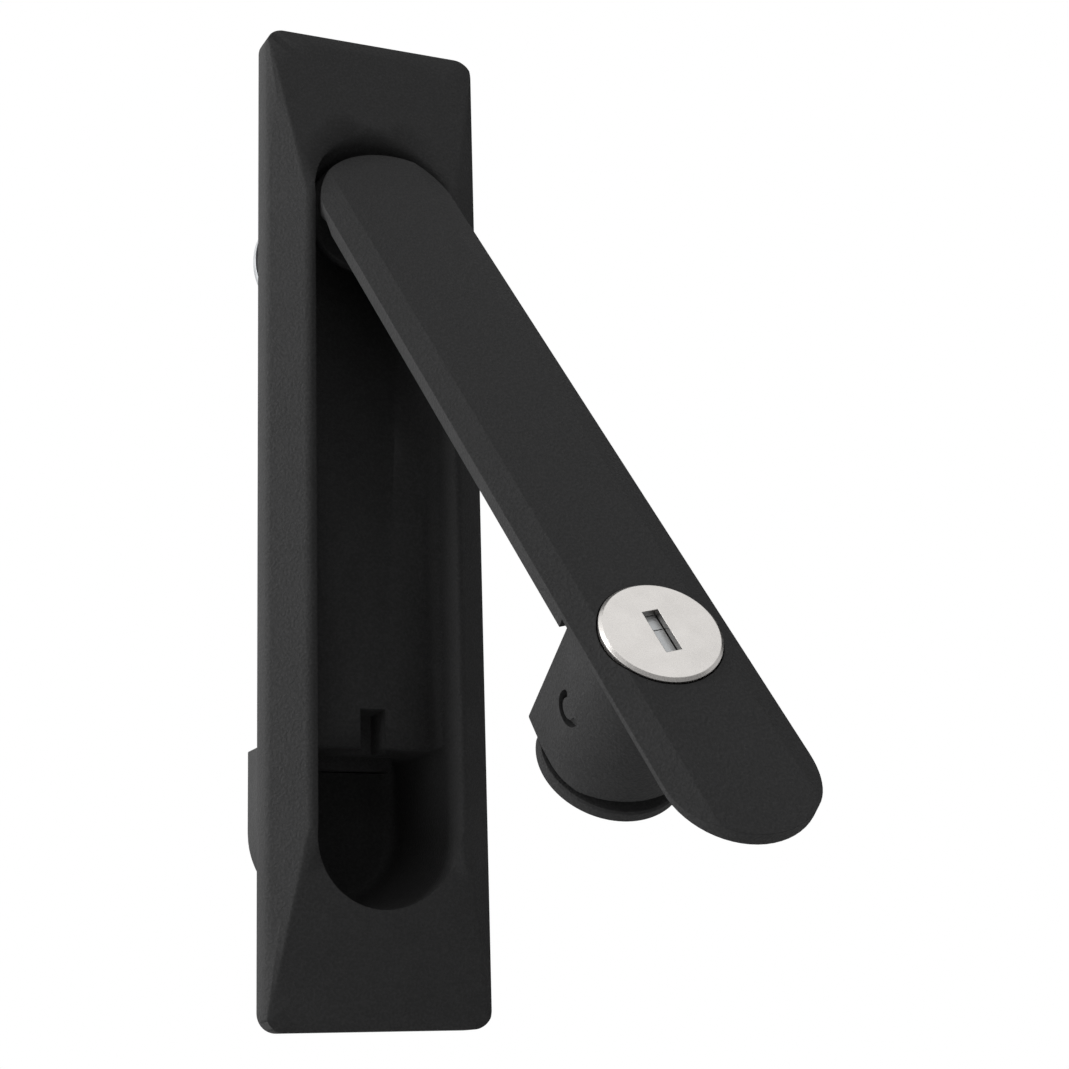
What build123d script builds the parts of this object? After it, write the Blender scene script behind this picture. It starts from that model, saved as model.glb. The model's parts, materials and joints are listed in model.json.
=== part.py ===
from build123d import *
import os
from math import cos, radians, sin

# Swing-handle latch for a cabinet door: a lever that lies in a dished plate, lifts out and then
# swings a quarter turn, with a key lock on the lever's back that drops into a pocket of the plate.
#
# Each piece is drawn flat on the bench: x to the right, y up the door, z out of the door face.
# The lever is drawn closed. Three placements then lift and swing what moves, and the whole is
# stood up, so that in the finished part +Z is up, -Y faces the user and the door face is y = 0.
# All sizes are in millimetres.

# ---- plate and dish ------------------------------------------------------------------------
PLATE_W = 36.0            # width across the door
PLATE_H = 160.0           # height up the door
PLATE_CORNER_R = 3.0
EDGE_T = 4.1              # thickness at the rim
RIDGE_T = 9.2             # thickness along the two long ridges
BEVEL_RUN = 5.5           # width of the steep long bevels
HIP_RUN = 30.0            # length of the gently sloping end facets
DISH_R = 11.4             # half-width of the dish and radius of its ends
DISH_ARC_Y = 51.0         # height of the end-arc centres above and below the middle
LEDGE_H = 3.3             # height of the narrow ledge along the dish, above the door face
LEDGE_W = 1.0
FLOOR_H = -0.6            # dish floor, just behind the door face
WALL = 1.8                # cast wall of floor, pocket and bosses
POCKET_TOP_Y = -36.9      # upper end of the deep lock pocket
POCKET_FLOOR_H = -21.0
POCKET_FILLET = 2.0       # inside corner of the pocket floor
NOTCH_W, NOTCH_L, NOTCH_X = 4.2, 6.2, 1.0     # drain notch in the lower edge of the floor
KEEPER_REACH = 2.4        # how far the keeper ledge stands into the pocket
KEEPER_T = 4.0
KEEPER_W = 15.0
KEEPER_CLEARANCE = 0.4    # between the keeper's back and the lock cam
GUSSET_T, GUSSET_L, GUSSET_RISE, GUSSET_FOOT = 1.6, 12.0, 5.0, 1.0
GASKET_INSET, GASKET_W, GASKET_T = 0.9, 1.5, 1.2
FIX_X, FIX_Y = 10.0, 71.0       # half spacings of the four fixing holes
FIX_R, FIX_DEPTH = 2.0, 4.0     # M4, at thread size
CORE_DEPTH = 2.4          # hollowed back of the two plate ends
CORE_MARGIN = 2.4
BOSS_R = 12.0             # hub boss behind the dish
BOSS_END_H = -18.0

# ---- hub -----------------------------------------------------------------------------------
RUN = 0.05                # radial running clearance
FACE_GAP = 0.1            # gap between faces that slide past each other
SINK = 0.5                # how far a form runs into the one it grows from
OVERCUT = 1.0             # how far a cut runs on beyond the face it opens
SMALL_EDGE = 0.3          # broken edges of turned and stamped pieces
ROTOR_R = 9.6
ROTOR_TOP_H = 0.6
ROTOR_T = 5.0
ROTOR_EDGE = 0.4
SHAFT_R = 5.0
BUSH_WALL, BUSH_FLANGE = 1.0, 1.4
ORING_R = 0.5             # half section of the shaft seal
ORING_ROOM = 1.4          # free height around the seal
SQUARE = 7.0              # drive square across flats
SQUARE_SHOULDER_H = -21.0
CAM_T = 3.0
CAM_PITCH = 15.5          # rod pins from the hub axis
CAM_EYE_R, CAM_END_R = 9.0, 6.3
ROD_PIN_R, ROD_PIN_L, ROD_PIN_EDGE = 3.0, 9.0, 0.5
RIVET_R = 2.4             # the pins' shanks in the cam
ROD_CLIP_FROM_END, ROD_CLIP_W, ROD_CLIP_DEPTH = 1.2, 0.8, 0.6
WASHER_R, WASHER_T = 11.0, 1.6
SCREW_R, SCREW_AF, SCREW_HEAD = 3.0, 10.0, 4.0
SCREW_DOME_R = 11.0       # crown of the hexagon's corners
SCREW_L = 16.0
CLIP_T, CLIP_R, CLIP_OPEN, CLIP_GROOVE = 1.0, 7.0, 3.0, 0.5
THRUST_R = 8.0
TRACK_R = 7.8             # radius of the stop groove and the detent dimples
STOP_PIN_R, STOP_PIN_PROUD, STOP_PIN_DEPTH = 1.2, 1.5, 5.0
BALL_R, BALL_BORE_DEPTH = 1.5, 9.0
DETENT_WIRE, DETENT_COILS = 0.4, 5
SWING_TRAVEL = 90.0

# ---- pivot and lever -----------------------------------------------------------------------
PIVOT_H = 6.85            # pivot axis above the door face, on the hub axis
PIN_R = 1.25
PIVOT_DEPTH = 4.0         # lever face above the pivot axis
CHEEK_X0, CHEEK_X1 = 2.1, 4.5   # the two upright cheeks of the rotor
EAR_X0, EAR_X1 = 4.7, 8.3       # the two ears under the lever
HINGE_R = 2.6             # round head of cheeks and ears
LEVER_R = 11.15           # half-width of the lever and radius of its ends
FACE_X = 7.6              # half-width of the flat front face
BEVEL_DROP = 1.25         # depth of the shallow side bevels
TOP_ARC_DROP = 3.85       # upper arc centre below the pivot when closed
LEVER_SPAN = 119.2        # between the centres of the two end arcs
SKIRT = 3.6               # full depth of the lever's side walls
TIP_T = 2.1               # depth of the lever from the lock down to its tip
LEVER_WALL, FACE_WALL = 1.6, 1.2
HOLLOW_INSET, HOLLOW_DROP = 1.0, 1.0      # bevel of the hollow, inside that of the face
RIB_T, RIB_PITCH, RIB_DROP = 1.2, 14.0, 3.0
LIFT_AT_REST = 31.4       # lever held out by its spring, against the stop
SWING_AT_REST = 13.2      # lever a little way into its swing
LIFT_LOWEST = 16.5        # lowest lift at which the lever clears the plate at every swing
STOP_LEAF = 3.5           # length of the rotor's open stop, behind the pivot
SPRING_WIRE, SPRING_COILS = 0.5, 6

# ---- key lock on the lever -----------------------------------------------------------------
LOCK_DROP = 96.1          # lock axis below the lever's upper arc centre
HOUSING_R = 10.4          # round lower end of the housing
HOUSING_TOP = 8.5         # square upper end above the lock axis, at the housing's back
HOUSING_LEAN = 2.2        # how much lower that end is at the lever
HOUSING_DEPTH = 23.5      # below the lever face
BARREL_R = 7.0
PLUG_R = 5.4
BARREL_SEAT, PLUG_PORT = 1.0, 0.4       # ledge below the barrel, room around the plug's end
DISC_R, DISC_PROUD, DISC_T = 8.75, 0.7, 2.7
DISC_WALL = 1.1           # metal in front of the shutters
DISC_GAP = 0.2
DISC_CHAMFER = 0.45
KEYWAY_W, KEYWAY_L = 2.5, 7.4
PLUG_END_DEPTH = 22.6
CAM_DISC_R, CAM_DISC_T, CAM_DISC_GAP = 11.0, 1.8, 1.6
CAM_FLAT = 6.0            # flat of the lock cam from its axis
CAM_SQUARE = 5.0
CAM_SCREW_R, CAM_HEAD_R, CAM_HEAD_T, CAM_HEAD_ROUND = 1.5, 3.2, 1.6, 0.6
CAM_SCREW_GRIP = 0.8      # how far the screw reaches into the plug's body
CROSS_REACH, CROSS_W, CROSS_DEPTH = 2.0, 0.6, 0.9
WAFER_N, WAFER_T, WAFER_PITCH, WAFER_W = 5, 0.9, 2.4, 4.4
FIRST_WAFER_DEPTH = 8.4
WAFER_GROOVE = 1.2        # depth of the barrel's two wafer grooves
WAFER_SILL, WAFER_SHIFT = 0.6, 0.25     # edge of the key window, and its step from plate to plate
SHUTTER_T, SHUTTER_SPLIT = 0.5, 0.35
SHUTTER_ROLL_R = 0.5
SHUTTER_PIN = 0.35        # how far the flap's pins stand out each side
CHAMBER_DEPTH = 4.6       # room behind the shutters, into the plug
CHAMBER_GAP = 0.1
BOLT_X, BOLT_UP = 8.9, 4.9      # housing screws beside and above the lock axis
BOLT_R, BOLT_HEAD_R, BOLT_HEAD_T, BOLT_GRIP = 1.0, 1.4, 1.6, 0.8
CREST_R, CREST_W, CREST_DEPTH = 3.7, 0.9, 0.8       # arc groove in the housing's side
CREST_DROP, CREST_FROM_FACE = 1.2, 11.0     # its centre, below the lock axis and the face
HOUSING_EDGE = 0.5
SKIRT_GAP = 0.9           # notch between the lever's skirt and the housing

# ---- worked out from the above -------------------------------------------------------------
HUB_Y = DISH_ARC_Y
FACE_H = PIVOT_H + PIVOT_DEPTH
TOP_ARC_Y = HUB_Y - TOP_ARC_DROP
TIP_ARC_Y = TOP_ARC_Y - LEVER_SPAN
LOCK_Y = TOP_ARC_Y - LOCK_DROP
HOUSING_TOP_Y = LOCK_Y + HOUSING_TOP
HOUSING_ROOT_Y = HOUSING_TOP_Y - HOUSING_LEAN
SKIRT_END_Y = HOUSING_ROOT_Y + SKIRT_GAP
CHANNEL_R = DISH_R - LEDGE_W
RIDGE_X = PLATE_W / 2 - BEVEL_RUN
RIDGE_Y = PLATE_H / 2 - HIP_RUN
ROTOR_BOTTOM_H = ROTOR_TOP_H - ROTOR_T
BUSH_R = SHAFT_R + RUN + BUSH_WALL
BUSH_TOP_H = ROTOR_BOTTOM_H - FACE_GAP - 2 * ORING_R - ORING_ROOM
THRUST_H = BOSS_END_H - FACE_GAP - BUSH_FLANGE
CLIP_H = THRUST_H - CLIP_T - FACE_GAP
CAM_TOP_H = SQUARE_SHOULDER_H - FACE_GAP / 2
CAM_BACK_H = CAM_TOP_H - CAM_T
WASHER_BACK_H = CAM_BACK_H - FACE_GAP / 2 - WASHER_T
LOCK_CAM_TOP_H = FACE_H - HOUSING_DEPTH - CAM_DISC_GAP
LOCK_CAM_BACK_H = LOCK_CAM_TOP_H - CAM_DISC_T
HOUSING_TOP_H = FACE_H - TIP_T
HOUSING_BOTTOM_H = FACE_H - HOUSING_DEPTH
BARREL_LOW_H = HOUSING_BOTTOM_H + BARREL_SEAT
BARREL_TOP_H = FACE_H + DISC_PROUD - DISC_T - FACE_GAP
PLUG_LOW_H = FACE_H - PLUG_END_DEPTH
SHUTTER_AXIS_H = FACE_H + DISC_PROUD - DISC_WALL - FACE_GAP - SHUTTER_ROLL_R
STOP_PIN_LOW_H = ROTOR_BOTTOM_H - STOP_PIN_DEPTH
BALL_BORE_LOW_H = ROTOR_BOTTOM_H - BALL_BORE_DEPTH
KEEPER_TOP_H = LOCK_CAM_TOP_H + KEEPER_T + KEEPER_CLEARANCE

STAND = Rot(X=90)
HUB_AXIS = Pos(0, HUB_Y, 0)
SWING = HUB_AXIS * Rot(Z=SWING_AT_REST) * Pos(0, -HUB_Y, 0)
PIVOT = Pos(0, HUB_Y, PIVOT_H)
LOCK_AXIS = Pos(0, LOCK_Y, 0)


def lifted(angle):
    """Placement of the lever when it is lifted by an angle from closed."""
    return PIVOT * Rot(X=-angle) * Pos(0, -HUB_Y, -PIVOT_H)


def upright_slot(radius, y_low, y_high, z_low, z_high):
    """Solid with a stadium outline that runs up the door."""
    outline = Pos(0, (y_low + y_high) / 2) * Rot(Z=90) * SlotCenterToCenter(y_high - y_low, 2 * radius)
    return extrude(Pos(0, 0, z_low) * outline, z_high - z_low)


def disc(radius, z_low, z_high, x=0, y=0):
    """Cylinder along z between two heights."""
    return Pos(x, y, (z_low + z_high) / 2) * Cylinder(radius, z_high - z_low)


def block(x_low, x_high, y_low, y_high, z_low, z_high):
    """Box between given faces."""
    middle = Pos((x_low + x_high) / 2, (y_low + y_high) / 2, (z_low + z_high) / 2)
    return middle * Box(x_high - x_low, y_high - y_low, z_high - z_low)


def cross_bar(radius, x_low, x_high, y, z):
    """Cylinder along x."""
    return Pos((x_low + x_high) / 2, y, z) * Rot(Y=90) * Cylinder(radius, x_high - x_low)


def along_y(points, y_low, y_high):
    """Solid whose section, given as (x, z) points, runs along y."""
    section = Plane.XZ.offset(-y_low) * Polygon(*points, align=None)
    return extrude(section, -(y_high - y_low))


def fixing_points():
    """The four fixing holes of the plate."""
    return [(x, y) for x in (-FIX_X, FIX_X) for y in (-FIX_Y, FIX_Y)]


# ---- plate ---------------------------------------------------------------------------------
def hip_roof(width, height, edge, ridge, bevel, hip):
    """Plate body: a flat slab with long steep bevels and gently sloping end facets."""
    slab = block(-width / 2, width / 2, -height / 2, height / 2, 0, edge)
    eave = Pos(0, 0, edge) * Rectangle(width, height)
    top = Pos(0, 0, ridge) * Rectangle(width - 2 * bevel, height - 2 * hip)
    return slab + loft([eave, top], ruled=True)


def plate_body():
    """Front plate with rounded corners and the two hollowed end backs."""
    rounded = RectangleRounded(PLATE_W, PLATE_H, PLATE_CORNER_R)
    body = hip_roof(PLATE_W, PLATE_H, EDGE_T, RIDGE_T, BEVEL_RUN, HIP_RUN) & extrude(rounded, RIDGE_T)
    core_x = PLATE_W / 2 - GASKET_INSET - GASKET_W - CORE_MARGIN / 2
    core_end = PLATE_H / 2 - GASKET_INSET - GASKET_W - CORE_MARGIN / 2
    core_start = DISH_ARC_Y + DISH_R + CORE_MARGIN
    for side in (-1, 1):
        low, high = sorted((side * core_start, side * core_end))
        hollow = block(-core_x, core_x, low, high, 0, CORE_DEPTH)
        hollow -= block(-GUSSET_T / 2, GUSSET_T / 2, low, high, 0, CORE_DEPTH)
        for x, y in fixing_points():
            hollow -= disc(FIX_R + WALL, 0, CORE_DEPTH, x, y)
        body -= hollow
    return body


def pocket_shape(radius, y_top, floor, high, corner):
    """Deep lock pocket: square above, round below, its floor rounded into its walls."""
    shape = block(-radius, radius, -DISH_ARC_Y, y_top, floor, high)
    shape += disc(radius, floor, high, 0, -DISH_ARC_Y)
    return fillet(shape.edges().group_by(Axis.Z)[0], corner)


def hub_track(radius, start, stop, half_width, z_low, z_high):
    """Round-ended groove about the hub axis, between two angles."""
    groove = SlotArc(CenterArc((0, 0), radius, start, stop - start), 2 * half_width)
    return HUB_AXIS * extrude(Pos(0, 0, z_low) * groove, z_high - z_low)


def base_housing():
    """Die-cast base: plate, dish, lock pocket, hub boss, keeper and gussets in one casting."""
    body = plate_body()
    body += upright_slot(CHANNEL_R + WALL, POCKET_TOP_Y, DISH_ARC_Y, FLOOR_H - WALL, EDGE_T)
    body += pocket_shape(DISH_R + WALL, POCKET_TOP_Y + WALL, POCKET_FLOOR_H - WALL, EDGE_T,
                         POCKET_FILLET + WALL / 2)
    body += disc(BOSS_R, BOSS_END_H, EDGE_T, 0, HUB_Y)
    body += pocket_gussets()

    body -= upright_slot(DISH_R, -DISH_ARC_Y, DISH_ARC_Y, LEDGE_H, RIDGE_T)
    body -= upright_slot(CHANNEL_R, -DISH_ARC_Y, DISH_ARC_Y, FLOOR_H, LEDGE_H)
    body -= pocket_shape(DISH_R, POCKET_TOP_Y, POCKET_FLOOR_H, RIDGE_T, POCKET_FILLET)
    body -= block(NOTCH_X - NOTCH_W / 2, NOTCH_X + NOTCH_W / 2, POCKET_TOP_Y - WALL,
                  POCKET_TOP_Y + NOTCH_L, FLOOR_H - WALL / 2, LEDGE_H)
    body += block(-KEEPER_W / 2, KEEPER_W / 2, POCKET_TOP_Y - KEEPER_REACH, POCKET_TOP_Y + WALL,
                  KEEPER_TOP_H - KEEPER_T, KEEPER_TOP_H)
    body -= hub_seat()
    body -= gasket_ring(0)
    for x, y in fixing_points():
        body -= disc(FIX_R, 0, FIX_DEPTH, x, y)
    return body


def pocket_gussets():
    """Two triangular ribs that tie the lock pocket to the back of the dish."""
    drop = POCKET_FLOOR_H + GUSSET_RISE
    root = POCKET_TOP_Y + WALL
    side = Plane.YZ * Polygon((root - WALL / 2, drop), (root - WALL / 2, FLOOR_H - WALL / 2),
                              (root + GUSSET_L, FLOOR_H - WALL / 2), (root + GUSSET_FOOT, drop), align=None)
    rib = extrude(side, GUSSET_T / 2, both=True)
    return Pos(-DISH_R / 2, 0, 0) * rib + Pos(DISH_R / 2, 0, 0) * rib


def hub_seat():
    """Everything that is bored on the hub axis, with the stop pin's and the detent's holes."""
    seat = disc(ROTOR_R + 2 * RUN, ROTOR_BOTTOM_H - FACE_GAP, LEDGE_H, 0, HUB_Y)
    seat += disc(BUSH_R, BOSS_END_H, 0, 0, HUB_Y)
    seat += disc(STOP_PIN_R, STOP_PIN_LOW_H, 0, 0, HUB_Y + TRACK_R)
    seat += disc(BALL_R + RUN, BALL_BORE_LOW_H, 0, 0, HUB_Y - TRACK_R)
    return seat


def gasket_ring(shrink):
    """Flat ring along the rim of the plate's back."""
    inset = GASKET_INSET + shrink
    outer = RectangleRounded(PLATE_W - 2 * inset, PLATE_H - 2 * inset, PLATE_CORNER_R - inset / 2)
    inner_inset = GASKET_INSET + GASKET_W - shrink
    inner = RectangleRounded(PLATE_W - 2 * inner_inset, PLATE_H - 2 * inner_inset,
                             PLATE_CORNER_R / 2)
    return extrude(outer - inner, GASKET_T)


def stop_pin():
    """Pressed pin that ends the swing at a quarter turn."""
    top = ROTOR_BOTTOM_H + STOP_PIN_PROUD
    pin = disc(STOP_PIN_R, STOP_PIN_LOW_H, top, 0, HUB_Y + TRACK_R)
    return chamfer(pin.edges().group_by(Axis.Z)[-1], SMALL_EDGE)


def detent_ball():
    """Ball that clicks into the rotor's dimples at both ends of the swing."""
    return Pos(0, HUB_Y - TRACK_R, ROTOR_BOTTOM_H - BALL_R) * Sphere(BALL_R)


def coil(radius, wire, turns, pitch):
    """Spring along z from z = 0, its wire drawn six-sided."""
    path = Helix(pitch, pitch * turns, radius)
    section = Plane(origin=path @ 0, z_dir=path % 0) * RegularPolygon(wire / 2, 6)
    return sweep(section, path=path, is_frenet=True)


def detent_spring():
    """Compression spring under the detent ball."""
    low = BALL_BORE_LOW_H + DETENT_WIRE
    high = ROTOR_BOTTOM_H - 2 * BALL_R - DETENT_WIRE
    pitch = (high - low) / DETENT_COILS
    return Pos(0, HUB_Y - TRACK_R, low) * coil(BALL_R - DETENT_WIRE, DETENT_WIRE, DETENT_COILS, pitch)


def hub_bush():
    """Plain bearing pressed into the boss."""
    bush = disc(BUSH_R, BOSS_END_H, BUSH_TOP_H, 0, HUB_Y)
    bush += disc(THRUST_R, BOSS_END_H - BUSH_FLANGE, BOSS_END_H, 0, HUB_Y)
    return bush - disc(SHAFT_R + RUN, BOSS_END_H - BUSH_FLANGE, BUSH_TOP_H, 0, HUB_Y)


def hub_oring():
    """Shaft seal in front of the bush, its round section drawn eight-sided."""
    section = Plane.XZ * Pos(SHAFT_R + RUN + ORING_R, 0) * RegularPolygon(ORING_R, 8)
    return Pos(0, HUB_Y, BUSH_TOP_H + FACE_GAP + ORING_R) * revolve(section, Axis.Z)


# ---- hub -----------------------------------------------------------------------------------
def cheek_profile():
    """Side view of a rotor cheek: round head, neck and the sloping open stop, as a y-z face."""
    head = Pos(HUB_Y, PIVOT_H) * Circle(HINGE_R)
    neck_l = PIVOT_H - ROTOR_TOP_H + 2 * SINK
    neck = Pos(HUB_Y, PIVOT_H - neck_l / 2) * Rectangle(2 * HINGE_R, neck_l)
    stop_face = PIVOT_DEPTH - FACE_WALL - FACE_GAP
    leaf = Pos(STOP_LEAF / 2, stop_face - PIVOT_H / 2) * Rectangle(STOP_LEAF, PIVOT_H)
    leaf = Pos(HUB_Y, PIVOT_H) * Rot(Z=-LIFT_AT_REST) * leaf
    above = Pos(HUB_Y, ROTOR_TOP_H - SINK + PIVOT_H) * Rectangle(2 * ROTOR_R, 2 * PIVOT_H)
    return (head + neck + leaf) & above


def hub_rotor():
    """Rotor flange, the two cheeks that carry the pivot pin, the shaft and its drive square."""
    body = disc(ROTOR_R, ROTOR_BOTTOM_H, ROTOR_TOP_H, 0, HUB_Y)
    body = fillet(body.edges().group_by(Axis.Z)[-1], ROTOR_EDGE)
    for side in (-1, 1):
        x = side * (CHEEK_X0 + CHEEK_X1) / 2
        cheek = extrude(Plane.YZ * cheek_profile(), (CHEEK_X1 - CHEEK_X0) / 2, both=True)
        body += Pos(x, 0, 0) * cheek
    body -= cross_bar(PIN_R + RUN, -CHEEK_X1, CHEEK_X1, HUB_Y, PIVOT_H)
    square_end = CAM_BACK_H + FACE_GAP
    body += disc(SHAFT_R, SQUARE_SHOULDER_H, ROTOR_BOTTOM_H, 0, HUB_Y)
    half = SQUARE / 2
    body += block(-half, half, HUB_Y - half, HUB_Y + half, square_end, SQUARE_SHOULDER_H)
    body -= disc(SCREW_R + RUN, square_end, WASHER_BACK_H + SCREW_L + OVERCUT, 0, HUB_Y)
    groove = disc(SHAFT_R, CLIP_H - RUN, CLIP_H + CLIP_T + RUN, 0, HUB_Y)
    body -= groove - disc(SHAFT_R - CLIP_GROOVE, CLIP_H - RUN, CLIP_H + CLIP_T + RUN, 0, HUB_Y)
    body -= hub_track(TRACK_R, 0, SWING_TRAVEL, STOP_PIN_R + FACE_GAP,
                      ROTOR_BOTTOM_H, ROTOR_BOTTOM_H + STOP_PIN_PROUD + 3 * FACE_GAP)
    for angle in (-90, -180):
        spot = Pos(TRACK_R * cos(radians(angle)), HUB_Y + TRACK_R * sin(radians(angle)),
                   ROTOR_BOTTOM_H - BALL_R / 2)
        body -= spot * Sphere(BALL_R)
    return body


def retaining_ring():
    """Open snap ring that holds the shaft in its bush."""
    ring = disc(CLIP_R, CLIP_H, CLIP_H + CLIP_T, 0, HUB_Y)
    ring -= disc(SHAFT_R - CLIP_GROOVE + RUN, CLIP_H, CLIP_H + CLIP_T, 0, HUB_Y)
    return ring - block(-CLIP_OPEN / 2, CLIP_OPEN / 2, HUB_Y, HUB_Y + CLIP_R, CLIP_H, CLIP_H + CLIP_T)


def rod_cam():
    """Two-ended drive cam: moves an upper and a lower rod in opposite ways."""
    arms = upright_slot(CAM_END_R, HUB_Y - CAM_PITCH, HUB_Y + CAM_PITCH, CAM_BACK_H, CAM_TOP_H)
    body = arms + disc(CAM_EYE_R, CAM_BACK_H, CAM_TOP_H, 0, HUB_Y)
    half = SQUARE / 2 + RUN
    body -= block(-half, half, HUB_Y - half, HUB_Y + half, CAM_BACK_H, CAM_TOP_H)
    for side in (-1, 1):
        body -= disc(RIVET_R, CAM_BACK_H, CAM_TOP_H, 0, HUB_Y + side * CAM_PITCH)
    return body


def rod_pins():
    """Two shouldered pins, riveted into the cam, each with a clip groove."""
    pins = []
    for side in (-1, 1):
        y = HUB_Y + side * CAM_PITCH
        end = CAM_BACK_H - ROD_PIN_L
        pin = disc(ROD_PIN_R, end, CAM_BACK_H, 0, y)
        pin = chamfer(pin.edges().group_by(Axis.Z)[0], ROD_PIN_EDGE)
        low, high = end + ROD_CLIP_FROM_END, end + ROD_CLIP_FROM_END + ROD_CLIP_W
        pin -= disc(ROD_PIN_R, low, high, 0, y) - disc(ROD_PIN_R - ROD_CLIP_DEPTH, low, high, 0, y)
        pins.append(pin + disc(RIVET_R, CAM_BACK_H, CAM_TOP_H, 0, y))
    return Compound(pins)


def cam_washer():
    """Wide plated washer behind the cam."""
    high = CAM_BACK_H - FACE_GAP / 2
    ring = disc(WASHER_R, high - WASHER_T, high, 0, HUB_Y)
    ring = chamfer(ring.edges().group_by(Axis.Z)[0], SMALL_EDGE)
    return ring - disc(SCREW_R + 4 * RUN, high - WASHER_T, high, 0, HUB_Y)


def cam_screw():
    """Hexagon screw that clamps washer and cam to the shaft."""
    hexagon = Pos(0, HUB_Y, WASHER_BACK_H - SCREW_HEAD) * RegularPolygon(SCREW_AF / 2, 6, major_radius=False)
    head = extrude(hexagon, SCREW_HEAD)
    dome = Pos(0, HUB_Y, WASHER_BACK_H - SCREW_HEAD + SCREW_DOME_R) * Sphere(SCREW_DOME_R + SMALL_EDGE)
    return (head & dome) + disc(SCREW_R, WASHER_BACK_H, WASHER_BACK_H + SCREW_L, 0, HUB_Y)


# ---- lever ---------------------------------------------------------------------------------
def lever_outline(radius, z_low, z_high):
    """Stadium of the lever, smaller or larger by its radius."""
    return upright_slot(radius, TIP_ARC_Y, TOP_ARC_Y, z_low, z_high)


def lever_form():
    """Outer form: a stadium whose two long sides are planed to shallow bevels."""
    body = lever_outline(LEVER_R, FACE_H - SKIRT, FACE_H)
    low, edge = FACE_H - SKIRT, FACE_H - BEVEL_DROP
    section = [(-LEVER_R, low), (LEVER_R, low), (LEVER_R, edge), (FACE_X, FACE_H),
               (-FACE_X, FACE_H), (-LEVER_R, edge)]
    return body & along_y(section, TIP_ARC_Y - LEVER_R, TOP_ARC_Y + LEVER_R)


def lever_cavity():
    """Hollow under the lever between the hub and the lock, with its ribs left standing."""
    radius = LEVER_R - LEVER_WALL
    low, high = FACE_H - SKIRT - OVERCUT, FACE_H - FACE_WALL
    shoulder, drop = FACE_X - HOLLOW_INSET, HOLLOW_DROP
    hollow = lever_outline(radius, low, high)
    section = [(-radius, low), (radius, low), (radius, high - drop), (shoulder, high),
               (-shoulder, high), (-radius, high - drop)]
    bottom = SKIRT_END_Y + LEVER_WALL
    hollow &= along_y(section, bottom, TOP_ARC_Y + radius)
    first = HUB_Y - 2 * RIB_PITCH
    rib_low = FACE_H - RIB_DROP
    hollow -= block(-RIB_T / 2, RIB_T / 2, bottom - OVERCUT, first, rib_low + RIB_T / 2, FACE_H)
    for step in range(int((first - bottom) / RIB_PITCH) + 1):
        y = first - step * RIB_PITCH
        hollow -= block(-LEVER_R, LEVER_R, y - RIB_T / 2, y + RIB_T / 2, rib_low, FACE_H)
    return hollow


def lever_ear(side):
    """Round ear that hangs from the lever around the pivot pin, on one side."""
    root = FACE_H - FACE_WALL / 2 - PIVOT_H
    profile = Pos(HUB_Y, PIVOT_H) * Circle(HINGE_R)
    profile += Pos(HUB_Y, PIVOT_H + root / 2) * Rectangle(2 * HINGE_R, root)
    ear = extrude(Plane.YZ * profile, (EAR_X1 - EAR_X0) / 2, both=True)
    return Pos(side * (EAR_X0 + EAR_X1) / 2, 0, 0) * ear


def handle_lever():
    """Die-cast lever with bevelled sides, ribbed hollow, ears and a thin finger tip."""
    body = lever_form()
    body -= block(-PLATE_W, PLATE_W, -PLATE_H, SKIRT_END_Y, FACE_H - SKIRT, FACE_H - TIP_T)
    body -= lever_cavity()
    body += [lever_ear(-1), lever_ear(1)]
    body -= cross_bar(PIN_R, -EAR_X1, EAR_X1, HUB_Y, PIVOT_H)
    body -= cross_bar(PIN_R + RUN, EAR_X1, LEVER_R + OVERCUT, HUB_Y, PIVOT_H)
    body -= disc(DISC_R + DISC_GAP, FACE_H - SKIRT, FACE_H, 0, LOCK_Y)
    for x in (-BOLT_X, BOLT_X):
        body -= disc(BOLT_R, HOUSING_TOP_H, HOUSING_TOP_H + BOLT_GRIP, x, LOCK_Y + BOLT_UP)
    return body - swing_clearance()


def swing_clearance():
    """Ring around the dish's rim, set against the lever at its lowest swinging lift."""
    ring = disc(LEVER_R * 2, ROTOR_TOP_H, RIDGE_T + 2 * FACE_GAP, 0, HUB_Y)
    ring -= disc(DISH_R - FACE_GAP, ROTOR_TOP_H, RIDGE_T + 2 * FACE_GAP, 0, HUB_Y)
    return lifted(LIFT_LOWEST).inverse() * ring


def pivot_pin():
    """Steel pin through both ears and both cheeks."""
    return cross_bar(PIN_R, -EAR_X1, EAR_X1, HUB_Y, PIVOT_H)


def lift_spring():
    """Torsion spring around the pivot pin, between the cheeks."""
    length = 2 * (CHEEK_X0 - 2 * FACE_GAP) - SPRING_WIRE
    wound = coil(PIN_R + FACE_GAP + SPRING_WIRE / 2, SPRING_WIRE, SPRING_COILS, length / SPRING_COILS)
    return Pos(-length / 2, HUB_Y, PIVOT_H) * Rot(Y=90) * wound


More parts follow.
